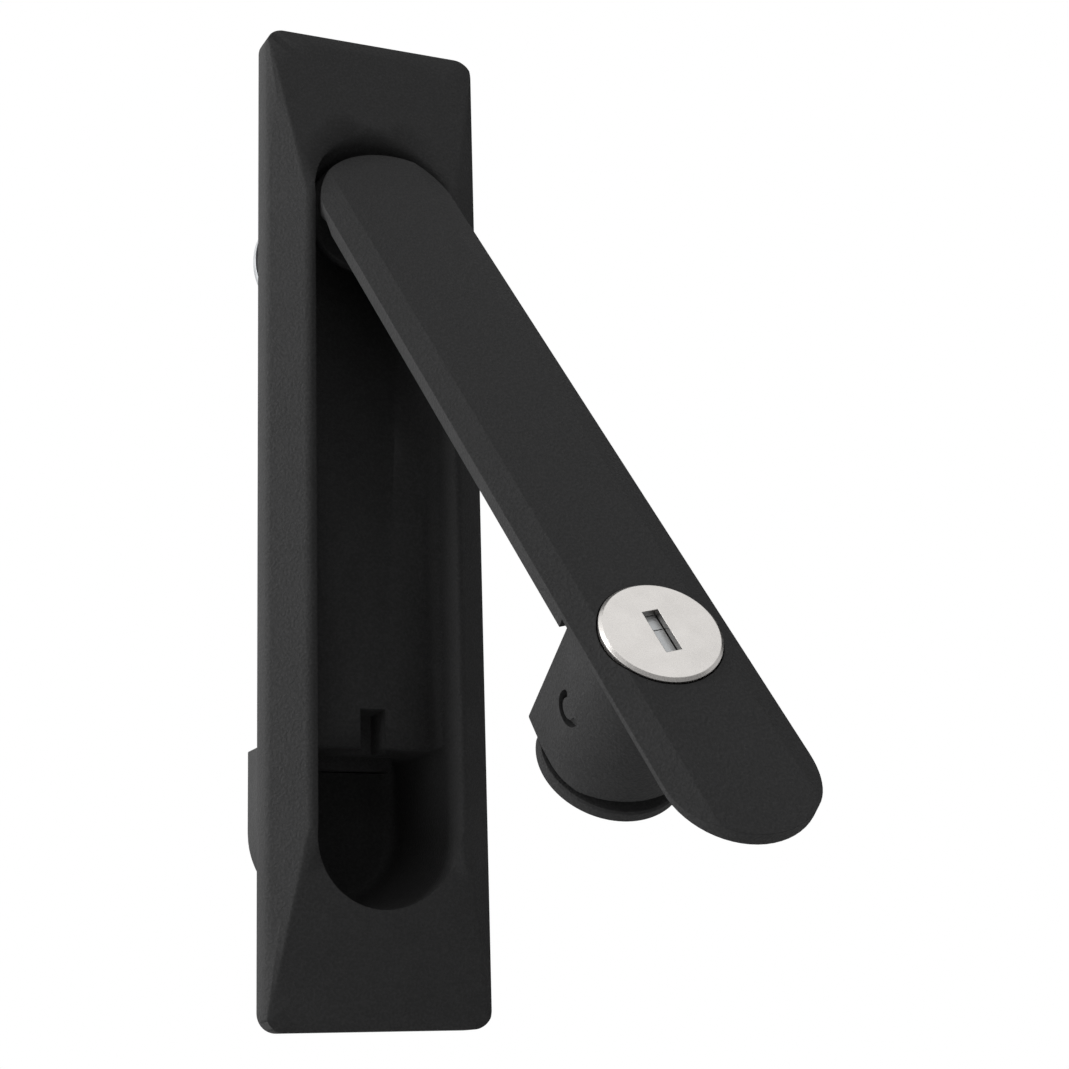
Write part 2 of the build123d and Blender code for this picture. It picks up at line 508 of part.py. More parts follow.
# ---- key lock ------------------------------------------------------------------------------
def housing_body():
    """Square above the lock axis with a leaning end wall, round below it."""
    outline = Pos(0, HOUSING_TOP / 2) * Rectangle(2 * HOUSING_R, HOUSING_TOP)
    outline += Circle(HOUSING_R) & Pos(0, -HOUSING_R / 2) * Rectangle(2 * HOUSING_R, HOUSING_R)
    height = HOUSING_TOP_H - HOUSING_BOTTOM_H
    body = LOCK_AXIS * extrude(Pos(0, 0, HOUSING_BOTTOM_H) * outline, height)
    body = chamfer(body.edges().group_by(Axis.Z)[0], HOUSING_EDGE / 2)
    lean = [(HOUSING_TOP_Y, HOUSING_BOTTOM_H), (HOUSING_TOP_Y, HOUSING_TOP_H),
            (HOUSING_ROOT_Y, HOUSING_TOP_H)]
    return body - extrude(Plane.YZ * Polygon(*lean, align=None), HOUSING_R, both=True)


def lock_housing():
    """Lock housing screwed under the lever, with an arc groove in its side."""
    body = housing_body()
    body -= disc(BARREL_R + RUN, BARREL_LOW_H, HOUSING_TOP_H, 0, LOCK_Y)
    body -= disc(PLUG_R + PLUG_PORT, HOUSING_BOTTOM_H, HOUSING_TOP_H, 0, LOCK_Y)
    for x in (-BOLT_X, BOLT_X):
        body -= disc(BOLT_R, HOUSING_BOTTOM_H, HOUSING_TOP_H, x, LOCK_Y + BOLT_UP)
        body -= disc(BOLT_HEAD_R + RUN, HOUSING_BOTTOM_H, HOUSING_BOTTOM_H + BOLT_HEAD_T,
                     x, LOCK_Y + BOLT_UP)
    return body - side_crest()


def side_crest():
    """Arc groove on the left side of the housing."""
    ring = Circle(CREST_R + CREST_W / 2) - Circle(CREST_R - CREST_W / 2)
    keep = Pos(CREST_R, -CREST_R) * Rectangle(2 * CREST_R, 2 * CREST_R)
    origin = (-HOUSING_R - OVERCUT, LOCK_Y - CREST_DROP, FACE_H - CREST_FROM_FACE)
    side = Plane(origin=origin, x_dir=(0, 1, 0), z_dir=(1, 0, 0))
    return extrude(side * (ring & keep), OVERCUT + CREST_DEPTH)


def housing_bolts():
    """Two slim screws from the housing's back up into the lever."""
    bolts = []
    y, low = LOCK_Y + BOLT_UP, HOUSING_BOTTOM_H + 2 * FACE_GAP
    for x in (-BOLT_X, BOLT_X):
        bolt = disc(BOLT_R, low, HOUSING_TOP_H + BOLT_GRIP, x, y)
        bolt += disc(BOLT_HEAD_R, low, HOUSING_BOTTOM_H + BOLT_HEAD_T, x, y)
        slot = block(x - BOLT_HEAD_R, x + BOLT_HEAD_R, y - BOLT_R / 4, y + BOLT_R / 4, low,
                     low + BOLT_HEAD_T / 2)
        bolts.append(bolt - slot)
    return Compound(bolts)


def lock_barrel():
    """Fixed barrel with the wafer grooves above and below the plug."""
    body = disc(BARREL_R, BARREL_LOW_H, BARREL_TOP_H, 0, LOCK_Y)
    body -= disc(PLUG_R + RUN, BARREL_LOW_H, BARREL_TOP_H, 0, LOCK_Y)
    reach = PLUG_R + WAFER_GROOVE
    groove_low = FACE_H - FIRST_WAFER_DEPTH - (WAFER_N - 1) * WAFER_PITCH - WAFER_T
    body -= block(-WAFER_W / 2, WAFER_W / 2, LOCK_Y - reach, LOCK_Y + reach, groove_low,
                  FACE_H - FIRST_WAFER_DEPTH + WAFER_T)
    return body


def shutter_chamber(z_low, z_high):
    """Room for the two shutter flaps, a little longer and wider than the key slot."""
    half_l = KEYWAY_L / 2 + 2 * SHUTTER_ROLL_R + CHAMBER_GAP
    half_w = KEYWAY_W / 2 + SHUTTER_PIN + CHAMBER_GAP
    return block(-half_w, half_w, LOCK_Y - half_l, LOCK_Y + half_l, z_low, z_high)


def key_slot(z_low, z_high):
    """Key slot, along the lever."""
    half_w, half_l = KEYWAY_W / 2, KEYWAY_L / 2
    return block(-half_w, half_w, LOCK_Y - half_l, LOCK_Y + half_l, z_low, z_high)


def lock_plug():
    """Turning plug with keyway, wafer slots, shutter chamber and cam square."""
    high = FACE_H + DISC_PROUD - DISC_T
    body = disc(PLUG_R, PLUG_LOW_H, high, 0, LOCK_Y)
    body -= key_slot(PLUG_LOW_H + WALL, high)
    body -= shutter_chamber(high - CHAMBER_DEPTH, high)
    for index in range(WAFER_N):
        middle = FACE_H - FIRST_WAFER_DEPTH - index * WAFER_PITCH
        body -= block(-WAFER_W / 2 - RUN, WAFER_W / 2 + RUN, LOCK_Y - PLUG_R, LOCK_Y + PLUG_R,
                      middle - WAFER_T / 2 - RUN, middle + WAFER_T / 2 + RUN)
    half = CAM_SQUARE / 2
    body += block(-half, half, LOCK_Y - half, LOCK_Y + half, LOCK_CAM_BACK_H + FACE_GAP, PLUG_LOW_H)
    return body - disc(CAM_SCREW_R, LOCK_CAM_BACK_H, PLUG_LOW_H + CAM_SCREW_GRIP + FACE_GAP, 0, LOCK_Y)


def face_disc():
    """Plated face of the plug, with a bevelled rim and the key slot."""
    high = FACE_H + DISC_PROUD
    body = disc(DISC_R, high - DISC_T, high, 0, LOCK_Y)
    body = chamfer(body.edges().group_by(Axis.Z)[-1], DISC_CHAMFER)
    return body - key_slot(high - DISC_T, high) - shutter_chamber(high - DISC_T, high - DISC_WALL)


def shutter(side, share):
    """One of the two spring flaps behind the key slot: side +1 is hinged above, -1 below."""
    hinge_y = LOCK_Y + side * (KEYWAY_L / 2 + SHUTTER_ROLL_R)
    inner = hinge_y - side * (share * KEYWAY_L + SHUTTER_ROLL_R - FACE_GAP / 2)
    low, high = sorted((hinge_y, inner))
    top = SHUTTER_AXIS_H + SHUTTER_ROLL_R
    half_w = KEYWAY_W / 2 - CHAMBER_GAP
    pins = KEYWAY_W / 2 + SHUTTER_PIN
    leaf = block(-half_w, half_w, low, high, top - SHUTTER_T, top)
    return leaf + cross_bar(SHUTTER_ROLL_R, -pins, pins, hinge_y, SHUTTER_AXIS_H)


def wafer_tumblers():
    """Five sprung plates with a key window, drawn level as the key sets them."""
    plates = []
    for index in range(WAFER_N):
        middle = FACE_H - FIRST_WAFER_DEPTH - index * WAFER_PITCH
        plate = disc(PLUG_R - RUN, middle - WAFER_T / 2, middle + WAFER_T / 2, 0, LOCK_Y)
        plate &= block(-WAFER_W / 2, WAFER_W / 2, LOCK_Y - PLUG_R, LOCK_Y + PLUG_R,
                       middle - WAFER_T / 2, middle + WAFER_T / 2)
        window_y = LOCK_Y + WAFER_SHIFT * (index % 3 - 1)
        half_w, half_l = KEYWAY_W / 2 + FACE_GAP, KEYWAY_L / 2 - WAFER_SILL
        plate -= block(-half_w, half_w, window_y - half_l, window_y + half_l,
                       middle - WAFER_T / 2, middle + WAFER_T / 2)
        plates.append(plate)
    return Compound(plates)


def locking_cam():
    """Round lock cam with one flat that clears the keeper when unlocked."""
    body = disc(CAM_DISC_R, LOCK_CAM_BACK_H, LOCK_CAM_TOP_H, 0, LOCK_Y)
    body -= block(-CAM_DISC_R, CAM_DISC_R, LOCK_Y + CAM_FLAT, LOCK_Y + CAM_DISC_R,
                  LOCK_CAM_BACK_H, LOCK_CAM_TOP_H)
    body = chamfer(body.edges().group_by(Axis.Z)[-1], SMALL_EDGE)
    half = CAM_SQUARE / 2 + RUN
    return body - block(-half, half, LOCK_Y - half, LOCK_Y + half, LOCK_CAM_BACK_H, LOCK_CAM_TOP_H)


def lock_cam_screw():
    """Screw that holds the lock cam on the plug's square."""
    back = LOCK_CAM_BACK_H - FACE_GAP / 2
    head = disc(CAM_HEAD_R, back - CAM_HEAD_T, back, 0, LOCK_Y)
    head = fillet(head.edges().group_by(Axis.Z)[0], CAM_HEAD_ROUND)
    low, high = back - CAM_HEAD_T, back - CAM_HEAD_T + CROSS_DEPTH
    half = CROSS_W / 2
    cross = block(-CROSS_REACH, CROSS_REACH, LOCK_Y - half, LOCK_Y + half, low, high)
    cross += block(-half, half, LOCK_Y - CROSS_REACH, LOCK_Y + CROSS_REACH, low, high)
    return head - cross + disc(CAM_SCREW_R, back, PLUG_LOW_H + CAM_SCREW_GRIP, 0, LOCK_Y)


# ---- assembly ------------------------------------------------------------------------------
ON_BASE = STAND
ON_HUB = STAND * SWING
ON_LEVER = STAND * SWING * lifted(LIFT_AT_REST)

PIECES = {
    "base_housing": (ON_BASE, base_housing()),
    "flange_gasket": (ON_BASE, gasket_ring(RUN)),
    "swing_stop_pin": (ON_BASE, stop_pin()),
    "detent_ball": (ON_BASE, detent_ball()),
    "detent_spring": (ON_BASE, detent_spring()),
    "hub_bush": (ON_BASE, hub_bush()),
    "hub_oring": (ON_BASE, hub_oring()),
    "hub_rotor": (ON_HUB, hub_rotor()),
    "retaining_ring": (ON_HUB, retaining_ring()),
    "rod_cam": (ON_HUB, rod_cam()),
    "rod_pins": (ON_HUB, rod_pins()),
    "cam_washer": (ON_HUB, cam_washer()),
    "cam_screw": (ON_HUB, cam_screw()),
    "lift_spring": (ON_HUB, lift_spring()),
    "handle_lever": (ON_LEVER, handle_lever()),
    "pivot_pin": (ON_LEVER, pivot_pin()),
    "lock_housing": (ON_LEVER, lock_housing()),
    "housing_bolts": (ON_LEVER, housing_bolts()),
    "lock_barrel": (ON_LEVER, lock_barrel()),
    "lock_plug": (ON_LEVER, lock_plug()),
    "face_disc": (ON_LEVER, face_disc()),
    "wafer_tumblers": (ON_LEVER, wafer_tumblers()),
    "upper_shutter": (ON_LEVER, shutter(1, SHUTTER_SPLIT)),
    "lower_shutter": (ON_LEVER, shutter(-1, 1 - SHUTTER_SPLIT)),
    "locking_cam": (ON_LEVER, locking_cam()),
    "lock_cam_screw": (ON_LEVER, lock_cam_screw()),
}

os.makedirs("parts", exist_ok=True)
for name, (placement, piece) in PIECES.items():
    export_step(placement * piece, f"parts/{name}.step")
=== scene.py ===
import json
import math

import bmesh
import bpy
from mathutils import Matrix, Vector


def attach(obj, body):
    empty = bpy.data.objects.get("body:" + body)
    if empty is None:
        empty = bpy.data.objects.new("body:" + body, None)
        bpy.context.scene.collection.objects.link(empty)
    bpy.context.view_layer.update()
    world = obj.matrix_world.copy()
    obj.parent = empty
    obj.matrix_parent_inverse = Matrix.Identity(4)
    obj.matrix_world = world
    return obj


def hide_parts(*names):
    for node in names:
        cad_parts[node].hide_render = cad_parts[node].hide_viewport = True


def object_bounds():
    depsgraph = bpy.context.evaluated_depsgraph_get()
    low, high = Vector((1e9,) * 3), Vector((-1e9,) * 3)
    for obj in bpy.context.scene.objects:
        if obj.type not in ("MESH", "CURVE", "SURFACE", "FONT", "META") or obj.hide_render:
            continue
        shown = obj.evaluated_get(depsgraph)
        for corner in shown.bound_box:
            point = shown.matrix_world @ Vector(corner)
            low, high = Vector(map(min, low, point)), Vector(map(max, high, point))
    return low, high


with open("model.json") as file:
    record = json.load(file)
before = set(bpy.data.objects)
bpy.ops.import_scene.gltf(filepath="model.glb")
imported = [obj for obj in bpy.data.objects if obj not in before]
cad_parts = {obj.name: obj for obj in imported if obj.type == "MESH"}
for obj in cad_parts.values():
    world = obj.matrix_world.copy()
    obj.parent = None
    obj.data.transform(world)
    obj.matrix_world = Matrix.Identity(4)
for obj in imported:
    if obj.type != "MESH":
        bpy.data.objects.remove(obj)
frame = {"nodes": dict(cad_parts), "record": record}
cad_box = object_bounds()

MM = 0.001
CENTRE = (cad_box[0] + cad_box[1]) / 2

# ---- the photograph's view --------------------------------------------------------------------
CAMERA_AT = Vector((-117.5, -320.3, -88.3)) * MM
CAMERA_YAW = 24.63        # degrees to the right of straight ahead
CAMERA_PITCH = 13.98      # degrees up
CAMERA_ROLL = -1.66       # degrees about the line of sight
CAMERA_LENS = 74.34       # mm, on the usual 36 mm wide sensor
SENSOR_WIDTH = 36.0

# ---- light and floor --------------------------------------------------------------------------
FLOOR_DROP = 75.0 * MM    # floor below the plate's lower end
FLOOR_RADIUS = 3.0
FLOOR_SEGMENTS = 96
FLOOR_TONES = ((0.80, 0.80, 0.80), (0.84, 0.84, 0.84))
SKY_FILL = 0.18           # light that the world itself gives to dull surfaces

# Every lamp aims at the middle of the part. Places and sizes are in metres.
LAMPS = {
    "far_left": dict(at=(-0.85, 0.19, 0.16), size=0.90, radiance=4.11),
    "rear_left": dict(at=(-0.67, 0.37, 0.45), size=1.00, radiance=0.80),
    "upper_front": dict(at=(-0.09, -0.59, 0.69), size=1.00, radiance=0.86),
}

# ---- lock housing, in mm from the lock axis on the lever's face: x across, y to the hub, z out 
HOUSING_R = 10.4          # round lower end and half-width
HOUSING_TOP = -2.1        # its flat top, on the lever's underside
HOUSING_LOW = -24.8       # its lowest stretch
# Side view (y, z) of the housing from the lever round its back: leaning end wall, sloping foot,
# flat back and the rise towards the lever's tip.
HOUSING_SIDE = ((6.7, HOUSING_TOP), (8.3, HOUSING_LOW + 0.95), (3.0, HOUSING_LOW),
                (-5.5, HOUSING_LOW), (-10.4, HOUSING_LOW + 1.45))
HOUSING_ROUND = 0.45      # radius on its sharp edges
HOUSING_ROUND_STEPS = 3
HOUSING_SHARP = 25        # degrees of turn from which an edge counts as sharp
HOUSING_ARC_STEPS = 48
BARREL_BORE_R, BARREL_SEAT = 7.05, -22.5
PLUG_PORT_R = 5.8
BOLT_AT = ((-8.9, 4.9), (8.9, 4.9))
BOLT_BORE_R, BOLT_HEAD_BORE_R, BOLT_HEAD_SEAT = 1.0, 1.45, -21.9
CREST_AT = (0.5, -13.2)   # centre of the curved slot in the left side, as (y, z)
CREST_R, CREST_W, CREST_DEPTH = 2.1, 1.1, 1.1
CREST_SWEEP = (-165, 39)  # degrees from the hub side, turning towards the lever's face
CREST_STEPS, CREST_END_STEPS = 24, 8

# ---- lock pocket, in mm up the door and out of it ---------------------------------------------
POCKET_TOP, POCKET_ARC = -36.9, -51.0       # upper end, and centre of the round lower end
POCKET_MOUTH, POCKET_FLOOR = -0.6, -21.0
POCKET_SLANT = 3.0        # how much higher the round end sits at the floor than at the mouth
POCKET_RISE = 1.5         # the floor's extra thickness
POCKET_INNER_R = 11.45
POCKET_FILLET = 2.0
POCKET_SKIN = 0.05        # how far under the floor its own points are looked for
WELD_DISTANCE = 0.002
# Drain recess in the lower edge of the dish floor and the boss behind it, as (low, high) pairs.
RECESS = ((-1.1, 3.1), (-38.0, -30.7), (-7.3, 1.0))
RECESS_BOSS = ((-2.3, 4.3), (-36.0, -29.5), (-8.5, -1.5))

# Black card behind and to the right, out of the camera's sight, that the grazing right-hand
# bevels reflect in place of the white surroundings.
CARD_AT = (0.50, 0.40, 0.13)
CARD_SIZE = 0.95
CARD_TONES = ((0.001, 0.001, 0.001), (0.002, 0.002, 0.002))

# ---- drawing -----------------------------------------------------------------------------------
HAIR = 0.01               # mm, for telling heights apart
OVERSHOOT = 1.0           # mm that a cutter goes past what it cuts
ROD_STEPS = 120
EDGE_RADIUS = 0.15 * MM   # of the edges that the shader softens
EDGE_SAMPLES = 6


# ---- material helpers -------------------------------------------------------------------------
class Surface:
    """One procedural material: a principled shader with noise for its colour, gloss and grain."""

    def __init__(self, name, metallic=0.0, specular=0.5):
        self.material = bpy.data.materials.new(name)
        self.material.use_nodes = True
        self.tree = self.material.node_tree
        self.shader = self.tree.nodes["Principled BSDF"]
        self.shader.inputs["Metallic"].default_value = metallic
        self.shader.inputs["Specular IOR Level"].default_value = specular
        self.place = self.tree.nodes.new("ShaderNodeTexCoord").outputs["Object"]

    def link(self, source, target):
        self.tree.links.new(source, target)

    def stretched(self, scale):
        """Object coordinates, scaled differently along each axis."""
        mapping = self.tree.nodes.new("ShaderNodeMapping")
        mapping.inputs["Scale"].default_value = scale
        self.link(self.place, mapping.inputs["Vector"])
        return mapping.outputs["Vector"]

    def noise(self, size, detail=2.0, place=None):
        """Noise whose features are about size metres wide."""
        node = self.tree.nodes.new("ShaderNodeTexNoise")
        node.inputs["Scale"].default_value = 1.0 / size
        node.inputs["Detail"].default_value = detail
        self.link(place or self.place, node.inputs["Vector"])
        return node.outputs["Fac"]

    def spread(self, value, low, high, start=0.3, end=0.7):
        """Value from start to end becomes low to high."""
        node = self.tree.nodes.new("ShaderNodeMapRange")
        ends = {"From Min": start, "From Max": end, "To Min": low, "To Max": high}
        for key, number in ends.items():
            node.inputs[key].default_value = number
        self.link(value, node.inputs["Value"])
        return node.outputs["Result"]

    def tones(self, value, dark, light, start=0.3, end=0.7):
        """Colour ramp from dark to light."""
        node = self.tree.nodes.new("ShaderNodeValToRGB")
        first, last = node.color_ramp.elements
        first.position, last.position = start, end
        first.color, last.color = (*dark, 1.0), (*light, 1.0)
        self.link(value, node.inputs["Fac"])
        return node.outputs["Color"]

    def mixed(self, first, second, share):
        node = self.tree.nodes.new("ShaderNodeMix")
        node.data_type = "RGBA"
        self.link(first, node.inputs["A"])
        self.link(second, node.inputs["B"])
        if isinstance(share, float):
            node.inputs["Factor"].default_value = share
        else:
            self.link(share, node.inputs["Factor"])
        return node.outputs["Result"]

    def soft_edges(self, radius):
        """Normal that is rounded at every edge."""
        node = self.tree.nodes.new("ShaderNodeBevel")
        node.samples = EDGE_SAMPLES
        node.inputs["Radius"].default_value = radius
        return node.outputs["Normal"]

    def colour(self, source):
        self.link(source, self.shader.inputs["Base Color"])

    def gloss(self, source):
        self.link(source, self.shader.inputs["Roughness"])

    def bump(self, layers):
        """Layers of (height value, depth in metres), the first one lowest, over softened edges."""
        normal = self.soft_edges(EDGE_RADIUS)
        for height, depth in layers:
            node = self.tree.nodes.new("ShaderNodeBump")
            node.inputs["Distance"].default_value = depth
            self.link(height, node.inputs["Height"])
            self.link(normal, node.inputs["Normal"])
            normal = node.outputs["Normal"]
        self.link(normal, self.shader.inputs["Normal"])


def powder_coat():
    """Matt black powder coat: fine pebbled grain, faint cloudy shade and rubbed patches."""
    s = Surface("powder_coat", specular=0.048)
    grain = s.noise(0.42 * MM, 3.0)
    fine = s.noise(0.16 * MM, 2.0)
    cloud = s.noise(9.0 * MM, 4.0)
    base = s.tones(cloud, (0.0350, 0.0350, 0.0353), (0.0420, 0.0420, 0.0424), 0.35, 0.68)
    specks = s.tones(grain, (0.0290, 0.0290, 0.0293), (0.0510, 0.0510, 0.0516), 0.40, 0.72)
    s.colour(s.mixed(base, specks, 0.45))
    s.gloss(s.spread(cloud, 0.50, 0.62))
    s.bump([(cloud, 0.05 * MM), (grain, 0.15 * MM), (fine, 0.02 * MM)])
    return s.material


def satin_nickel():
    """Satin nickel plate with a faint brushed line and a few darker rubs."""
    s = Surface("satin_nickel", metallic=1.0)
    lines = s.noise(0.12 * MM, 2.0, s.stretched((1.0, 1.0, 0.06)))
    cloud = s.noise(3.5 * MM, 4.0)
    base = s.tones(cloud, (0.405, 0.390, 0.376), (0.462, 0.446, 0.431))
    brushed = s.tones(lines, (0.375, 0.363, 0.349), (0.476, 0.460, 0.444))
    s.colour(s.mixed(base, brushed, 0.35))
    s.gloss(s.spread(lines, 0.24, 0.38))
    s.bump([(lines, 0.003 * MM), (cloud, 0.01 * MM)])
    return s.material


def zinc_plate():
    """Bright zinc over pressed steel: bluish, a little blotchy."""
    s = Surface("zinc_plate", metallic=1.0)
    cloud = s.noise(2.2 * MM, 5.0)
    fine = s.noise(0.20 * MM, 2.0)
    s.colour(s.tones(cloud, (0.36, 0.37, 0.385), (0.50, 0.51, 0.525)))
    s.gloss(s.spread(cloud, 0.26, 0.42))
    s.bump([(fine, 0.006 * MM)])
    return s.material


def spring_steel():
    """Drawn steel with fine lengthwise marks."""
    s = Surface("spring_steel", metallic=1.0)
    marks = s.noise(0.10 * MM, 3.0)
    s.colour(s.tones(marks, (0.23, 0.235, 0.24), (0.335, 0.345, 0.35)))
    s.gloss(s.spread(marks, 0.28, 0.45))
    s.bump([(marks, 0.004 * MM)])
    return s.material


def brass():
    """Turned brass with rings left by the tool."""
    s = Surface("turned_brass", metallic=1.0)
    rings = s.noise(0.15 * MM, 1.0)
    stain = s.noise(3.0 * MM, 4.0)
    s.colour(s.tones(stain, (0.44, 0.30, 0.12), (0.68, 0.50, 0.24)))
    s.gloss(s.spread(rings, 0.25, 0.42))
    s.bump([(rings, 0.005 * MM)])
    return s.material


def bronze():
    """Oil-soaked sintered bronze: brown, with open pores."""
    s = Surface("sintered_bronze", metallic=1.0)
    pores = s.noise(0.18 * MM, 3.0)
    s.colour(s.tones(pores, (0.14, 0.085, 0.04), (0.42, 0.27, 0.13), 0.38, 0.55))
    s.gloss(s.spread(pores, 0.55, 0.38))
    s.bump([(pores, 0.03 * MM)])
    return s.material


def rubber():
    """Moulded black rubber with a dusty bloom."""
    s = Surface("moulded_rubber", specular=0.35)
    dust = s.noise(1.5 * MM, 5.0)
    fine = s.noise(0.25 * MM, 2.0)
    s.colour(s.tones(dust, (0.012, 0.012, 0.012), (0.045, 0.044, 0.042)))
    s.gloss(s.spread(dust, 0.60, 0.80))
    s.bump([(fine, 0.02 * MM)])
    return s.material


FINISHES = {
    "black_powder_coat": powder_coat(),
    "nickel_plate": satin_nickel(),
    "zinc_plate": zinc_plate(),
    "spring_steel": spring_steel(),
    "brass": brass(),
    "bronze_bush": bronze(),
    "rubber": rubber(),
}


def dress_cad_nodes():
    """Every carried-over CAD node takes its slot's finish."""
    for part in frame["record"]["subparts"]:
        node = frame["nodes"][part["node"]]
        finish = FINISHES[part["material_slot"]]
        for slot in node.material_slots:
            slot.material = finish
        if not node.material_slots:
            node.data.materials.append(finish)


# ---- pieces that stand for CAD nodes ----------------------------------------------------------
JOINTS = {joint["name"]: joint for joint in frame["record"]["behaviour"]["joints"]}


def lock_frame():
    """Placement of the lock at rest: x across the lever, y towards the hub, z out of its face."""
    lock = JOINTS["cylinder_turn"]
    z = Vector(lock["axis"]).normalized()
    x = -Vector(JOINTS["handle_lift"]["axis"]).normalized()
    turn = Matrix((x, z.cross(x), z)).transposed().to_4x4()
    return Matrix.Translation(Vector(lock["pos_m"])) @ turn


def door_frame():
    """Placement of the plate: x across, y up the door, z out of it."""
    return Matrix.Rotation(math.radians(90), 4, "X")


def solid(name, shape, placement=Matrix.Identity(4)):
    """New object from a bmesh drawn in millimetres."""
    bmesh.ops.recalc_face_normals(shape, faces=shape.faces)
    mesh = bpy.data.meshes.new(name)
    shape.to_mesh(mesh)
    shape.free()
    mesh.transform(Matrix.Diagonal((MM, MM, MM, 1.0)))
    thing = bpy.data.objects.new(name, mesh)
    thing.matrix_world = placement
    bpy.context.collection.objects.link(thing)
    return thing


def prism(outline, low, high):
    """Closed bmesh that carries an (x, y) outline from one height to another."""
    shape = bmesh.new()
    base = shape.faces.new([shape.verts.new((x, y, low)) for x, y in outline])
    top = bmesh.ops.extrude_face_region(shape, geom=[base])["geom"]
    rise = Vector((0.0, 0.0, high - low))
    raised = [v for v in top if isinstance(v, bmesh.types.BMVert)]
    bmesh.ops.translate(shape, vec=rise, verts=raised)
    return shape


def arc(radius, start, end, steps, centre=(0.0, 0.0)):
    """Points along an arc, from one angle in degrees to another."""
    angles = [math.radians(start + (end - start) * i / steps) for i in range(steps + 1)]
    return [(centre[0] + radius * math.cos(a), centre[1] + radius * math.sin(a)) for a in angles]


def rod(name, radius, low, high, at, placement):
    """Cylinder along z, for boring."""
    last = 360 - 360 / ROD_STEPS
    return solid(name, prism(arc(radius, 0, last, ROD_STEPS - 1, at), low, high), placement)


def box(name, spans, placement):
    """Box between (low, high) pairs along x, y and z."""
    (x0, x1), (y0, y1), (z0, z1) = spans
    return solid(name, prism([(x0, y0), (x1, y0), (x1, y1), (x0, y1)], z0, z1), placement)


def combine(body, steps):
    """Applies boolean steps, each (operation, tool), and deletes the tools."""
    for operation, tool in steps:
        modifier = body.modifiers.new(tool.name, "BOOLEAN")
        modifier.operation = operation
        modifier.solver = "EXACT"
        modifier.object = tool
    done = body.evaluated_get(bpy.context.evaluated_depsgraph_get())
    mesh = bpy.data.meshes.new_from_object(done)
    body.modifiers.clear()
    body.data = mesh
    for _, tool in steps:
        bpy.data.objects.remove(tool)


def smooth(thing, angle=30):
    """Smooth faces that part at edges sharper than the angle."""
    for face in thing.data.polygons:
        face.use_smooth = True
    thing.data.set_sharp_from_angle(angle=math.radians(angle))


def stand_for(thing, node, body):
    """Puts a piece in a CAD node's place, with that node's finish."""
    part = next(p for p in frame["record"]["subparts"] if p["node"] == node)
    thing.data.materials.clear()
    thing.data.materials.append(FINISHES[part["material_slot"]])
    smooth(thing)
    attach(thing, body)
    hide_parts(node)


def keep_below(shape, first, second):
    """Cuts away what lies outside the side-view line from first to second, both (y, z)."""
    run = Vector((0.0, second[0] - first[0], second[1] - first[1]))
    outwards = Vector((1.0, 0.0, 0.0)).cross(run)
    cut = bmesh.ops.bisect_plane(shape, geom=shape.verts[:] + shape.edges[:] + shape.faces[:],
                                 plane_co=(0.0, *first), plane_no=outwards, clear_outer=True)
    rim = [e for e in cut["geom_cut"] if isinstance(e, bmesh.types.BMEdge)]
    bmesh.ops.holes_fill(shape, edges=rim, sides=0)
    bmesh.ops.recalc_face_normals(shape, faces=shape.faces)


def crest_slot(placement):
    """Cutter for the curved slot in the housing's left side, with round ends."""
    start, end = CREST_SWEEP
    half = CREST_W / 2
    mid = arc(CREST_R, start, end, 1, CREST_AT)
    outline = arc(CREST_R + half, start, end, CREST_STEPS, CREST_AT)
    outline += arc(half, end, end + 180, CREST_END_STEPS, mid[1])[1:-1]
    outline += arc(CREST_R - half, end, start, CREST_STEPS, CREST_AT)
    outline += arc(half, start + 180, start + 360, CREST_END_STEPS, mid[0])[1:-1]
    shape = prism(outline, -HOUSING_R - OVERSHOOT, -HOUSING_R + CREST_DEPTH)
    # The outline was drawn as (y, z) along x: turn (u, v, w) into (w, u, v).
    bmesh.ops.transform(shape, verts=shape.verts, matrix=Matrix(
        ((0, 0, 1, 0), (1, 0, 0, 0), (0, 1, 0, 0), (0, 0, 0, 1))))
    return solid("crest_cut", shape, placement)


def make_housing():
    """Lock housing: square to the hub and round to the tip, with its sloping back and slot."""
    place = lock_frame()
    outline = arc(HOUSING_R, 180, 360, HOUSING_ARC_STEPS)
    outline += [(HOUSING_R, HOUSING_R), (-HOUSING_R, HOUSING_R)]
    shape = prism(outline, HOUSING_LOW, HOUSING_TOP)
    for first, second in zip(HOUSING_SIDE, HOUSING_SIDE[1:]):
        if first[1] != second[1]:
            keep_below(shape, first, second)
    turn = math.radians(HOUSING_SHARP)
    sharp = [e for e in shape.edges if e.is_manifold and e.calc_face_angle(0.0) > turn
             and min(v.co.z for v in e.verts) < HOUSING_TOP - HAIR]
    bmesh.ops.bevel(shape, geom=sharp, offset=HOUSING_ROUND, segments=HOUSING_ROUND_STEPS,
                    profile=0.5, affect="EDGES")
    housing = solid("key_lock_housing", shape, place)
    above, below = HOUSING_TOP + OVERSHOOT, HOUSING_LOW - OVERSHOOT
    cuts = [rod("barrel_cut", BARREL_BORE_R, BARREL_SEAT, above, (0.0, 0.0), place),
            rod("port_cut", PLUG_PORT_R, below, above, (0.0, 0.0), place), crest_slot(place)]
    for number, at in enumerate(BOLT_AT):
        cuts.append(rod(f"bolt_cut_{number}", BOLT_BORE_R, below, above, at, place))
        cuts.append(rod(f"head_cut_{number}", BOLT_HEAD_BORE_R, below, BOLT_HEAD_SEAT, at, place))
    combine(housing, [("DIFFERENCE", cut) for cut in cuts])
    stand_for(housing, "lock_housing", "lever")


def share(value, start, end):
    """How far a value has gone from start to end, from 0 to 1."""
    return min(max((value - start) / (end - start), 0.0), 1.0)


